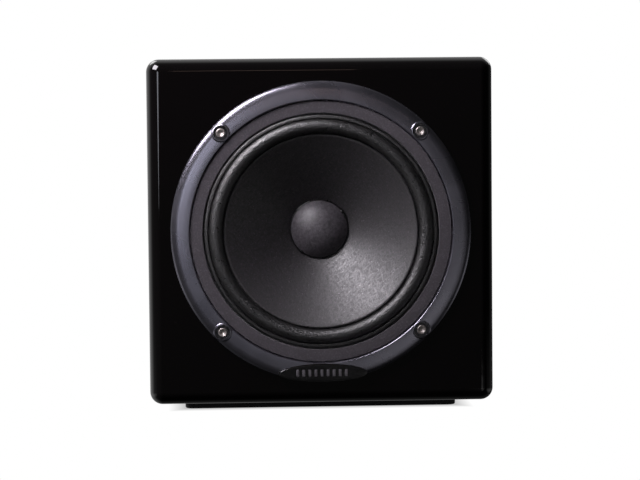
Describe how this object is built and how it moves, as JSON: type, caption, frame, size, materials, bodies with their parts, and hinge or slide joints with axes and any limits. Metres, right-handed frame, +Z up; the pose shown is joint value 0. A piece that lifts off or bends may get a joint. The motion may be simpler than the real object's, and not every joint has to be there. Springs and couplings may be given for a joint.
{
  "type": "powered cube loudspeaker",
  "caption": "Self-powered cube loudspeaker with a full-range cone driver in the front, an amplifier module in the back and a stand thread below.",
  "frame": {"origin": "on the surface the pad stands on, under the middle of the bounding box", "axes": "+Z up, the driver faces -Y, +X to the right as seen from the front"},
  "size_m": [0.165, 0.2, 0.169],
  "materials": {
    "black_lacquer": "fibreboard panels under high-gloss black lacquer",
    "pad_rubber": "matte black neoprene",
    "zinc_steel": "zinc-plated steel",
    "brass": "turned brass",
    "gunmetal_trim": "polished gunmetal lacquer on a pressed steel ring",
    "gloss_badge": "glossy black plastic",
    "screw_steel": "nickel-plated steel",
    "seal_foam": "black foam rubber",
    "basket_steel": "black powder-coated steel",
    "gasket_felt": "dark grey card, matte",
    "surround_rubber": "black butyl rubber with a pebbled skin",
    "cone_paper": "charcoal pressed paper pulp",
    "cap_paper": "doped dark grey paper",
    "former_film": "amber polyimide film",
    "coil_wire": "enamelled copper wire",
    "spider_cloth": "resin-dipped corrugated cotton",
    "plated_iron": "zinc-plated iron",
    "ferrite": "dark grey ceramic ferrite",
    "strip_phenolic": "brown phenolic board",
    "lead_braid": "braided copper tinsel",
    "wire_red": "red vinyl insulation",
    "wire_black": "black vinyl insulation",
    "wadding": "white polyester wadding",
    "plate_paint": "satin black paint on aluminium plate",
    "black_screw": "black oxide steel",
    "sink_anodised": "black anodised extrusion",
    "board_fibreglass": "green solder-masked board",
    "chip_epoxy": "black moulded epoxy with tinned legs",
    "cap_sleeve": "dark blue vinyl sleeve",
    "core_laminations": "varnished iron laminations",
    "winding_tape": "yellow polyester tape over copper",
    "pot_metal": "tinned steel can",
    "knob_plastic": "satin black plastic",
    "switch_nylon": "black nylon",
    "rocker_gloss": "glossy black plastic",
    "socket_nylon": "black glass-filled nylon",
    "contact_metal": "nickel-plated contact metal",
    "fuse_glass": "glass tube with plated end caps",
    "tab_metal": "nickel-plated zinc latch",
    "led_red": "red translucent lens"
  },
  "bodies": {
    "cabinet": {"front_baffle": "black_lacquer", "rear_panel": "black_lacquer", "left_side": "black_lacquer", "right_side": "black_lacquer", "top_panel": "black_lacquer", "bottom_panel": "black_lacquer", "wall_wadding": "wadding", "base_pad": "pad_rubber", "stand_insert": "zinc_steel", "stand_insert_screws": "zinc_steel", "baffle_inserts": "brass", "trim_ring": "gunmetal_trim", "badge": "gloss_badge", "driver_screws": "screw_steel", "driver_seal": "seal_foam", "basket": "basket_steel", "front_gasket": "gasket_felt", "surround": "surround_rubber", "spider": "spider_cloth", "top_plate": "plated_iron", "magnet": "ferrite", "pole_yoke": "plated_iron", "bucking_magnet": "ferrite", "shield_can": "zinc_steel", "terminal_strip": "strip_phenolic", "terminal_tags": "brass", "tinsel_leads": "lead_braid", "driver_wire_red": "wire_red", "driver_wire_black": "wire_black", "amp_plate": "plate_paint", "amp_plate_seal": "seal_foam", "amp_plate_screws": "black_screw", "heat_sink": "sink_anodised", "amp_board": "board_fibreglass", "board_standoffs": "zinc_steel", "output_transistors": "chip_epoxy", "filter_capacitors": "cap_sleeve", "transformer_core": "core_laminations", "transformer_winding": "winding_tape", "level_pot": "pot_metal", "pot_nut": "zinc_steel", "switch_housing": "switch_nylon", "mains_inlet": "socket_nylon", "inlet_pins": "contact_metal", "inlet_screws": "screw_steel", "fuse_holder": "socket_nylon", "input_socket": "socket_nylon", "socket_core": "switch_nylon", "socket_screws": "screw_steel", "status_led": "led_red"},
    "moving_cone": {"cone": "cone_paper", "dust_cap": "cap_paper", "coil_former": "former_film", "coil_winding": "coil_wire"},
    "level_knob": {"level_knob": "knob_plastic", "pot_shaft": "zinc_steel"},
    "power_rocker": {"power_rocker": "rocker_gloss"},
    "release_tab": {"release_tab": "tab_metal"},
    "fuse_cap": {"fuse_cap": "rocker_gloss", "fuse": "fuse_glass"}
  },
  "joints": [
    {"name": "cone_travel", "type": "slide", "parent": "cabinet", "child": "moving_cone", "axis": [0, 1, 0], "range_m": [-0.003, 0.003], "stiffness_N_per_m": 2500, "deforming": ["surround", "spider", "tinsel_leads"]},
    {"name": "level_turn", "type": "hinge", "parent": "cabinet", "child": "level_knob", "pos_m": [0.047, 0.0728, 0.0625], "axis": [0, -1, 0], "range_deg": [-150, 150]},
    {"name": "power_tip", "type": "hinge", "parent": "cabinet", "child": "power_rocker", "pos_m": [-0.047, 0.072, 0.0695], "axis": [1, 0, 0], "range_deg": [0, 18]},
    {"name": "release_press", "type": "slide", "parent": "cabinet", "child": "release_tab", "axis": [0, 1, 0], "range_m": [-0.002, 0], "stiffness_N_per_m": 500, "springref_m": 0.001},
    {"name": "fuse_cap_turn", "type": "hinge", "parent": "cabinet", "child": "fuse_cap", "pos_m": [-0.02, 0.0728, 0.0705], "axis": [0, -1, 0], "range_deg": [-45, 0]}
  ]
}
